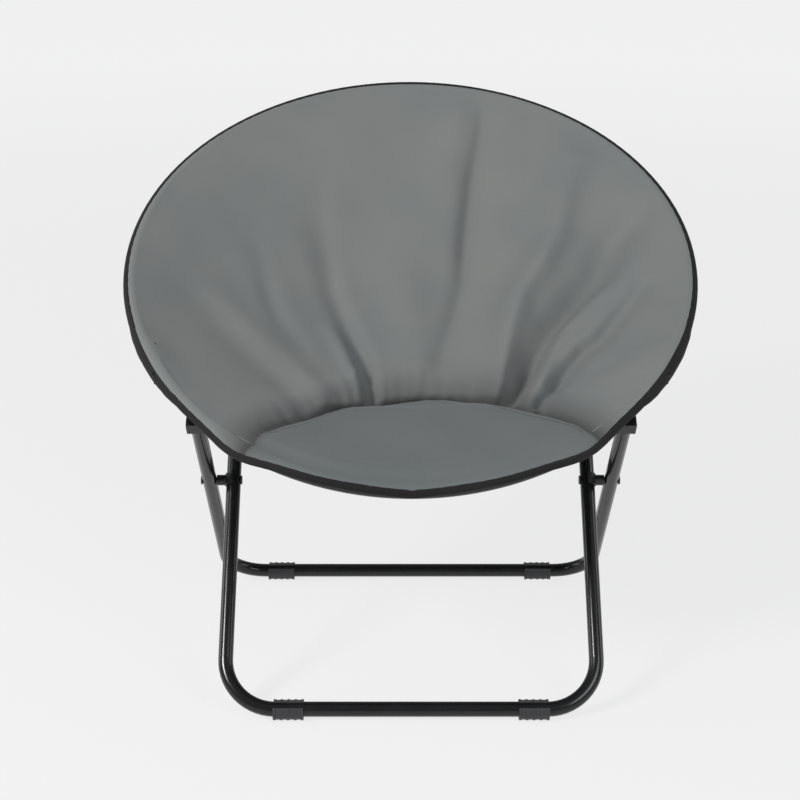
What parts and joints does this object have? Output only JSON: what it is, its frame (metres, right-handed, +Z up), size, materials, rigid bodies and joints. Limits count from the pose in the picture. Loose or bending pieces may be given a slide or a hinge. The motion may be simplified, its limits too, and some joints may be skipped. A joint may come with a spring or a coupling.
{
  "type": "folding saucer chair",
  "caption": "Low round folding chair: a hinged tube hoop holds a padded fabric dish on two crossed tube legs with clip-on feet.",
  "frame": {"origin": "on the floor, below the middle of the chair's outline seen from above", "axes": "+X to the right as seen from the front, +Y to the back, +Z up"},
  "size_m": [0.7666, 0.6726, 0.6968],
  "materials": {
    "cover_fabric": "padded woven polyester, mid grey",
    "binding": "woven tape, near black",
    "frame_paint": "glossy black powder coat",
    "foot_plastic": "dark grey moulded plastic",
    "black_plastic": "black moulded plastic",
    "rivet": "black steel rivet"
  },
  "bodies": {
    "front_leg": {"front_leg_tube": "frame_paint", "left_front_foot": "foot_plastic", "right_front_foot": "foot_plastic", "left_leg_spacer": "black_plastic", "right_leg_spacer": "black_plastic", "left_leg_pin": "rivet", "right_leg_pin": "rivet", "left_front_leg_plug": "black_plastic", "right_front_leg_plug": "black_plastic"},
    "rear_leg": {"rear_leg_tube": "frame_paint", "left_rear_foot": "foot_plastic", "right_rear_foot": "foot_plastic", "left_leg_cap": "rivet", "right_leg_cap": "rivet", "left_rear_leg_plug": "black_plastic", "right_rear_leg_plug": "black_plastic"},
    "back_hoop": {"back_hoop_tube": "frame_paint", "back_hem": "binding", "left_back_bracket": "frame_paint", "right_back_bracket": "frame_paint", "left_back_bracket_pin": "rivet", "right_back_bracket_pin": "rivet", "left_back_lug": "frame_paint", "right_back_lug": "frame_paint", "left_ring_pin": "rivet", "right_ring_pin": "rivet", "back_cover": "cover_fabric"},
    "seat_hoop": {"seat_hoop_tube": "frame_paint", "seat_hem": "binding", "left_seat_bracket": "frame_paint", "right_seat_bracket": "frame_paint", "left_seat_bracket_pin": "rivet", "right_seat_bracket_pin": "rivet", "left_seat_lug": "frame_paint", "right_seat_lug": "frame_paint", "seat_cover": "cover_fabric"}
  },
  "joints": [
    {"name": "back_tilt", "type": "hinge", "parent": "front_leg", "child": "back_hoop", "pos_m": [0, 0.26349, 0.62284], "axis": [1, 0, 0], "range_deg": [0, 18.47]},
    {"name": "seat_fold", "type": "hinge", "parent": "back_hoop", "child": "seat_hoop", "pos_m": [0, -0.15542, 0.41434], "axis": [-1, 0, 0], "range_deg": [0, 176.68], "deforming": ["back_cover", "seat_cover"]},
    {"name": "leg_swing", "type": "hinge", "parent": "seat_hoop", "child": "rear_leg", "pos_m": [0, -0.2055, 0.35014], "axis": [1, 0, 0], "range_deg": [0, 93.21]}
  ],
  "couplings": [
    {"joint": "back_tilt", "follows": "leg_swing", "ratio": 0.19761},
    {"joint": "seat_fold", "follows": "leg_swing", "ratio": 1.895}
  ]
}
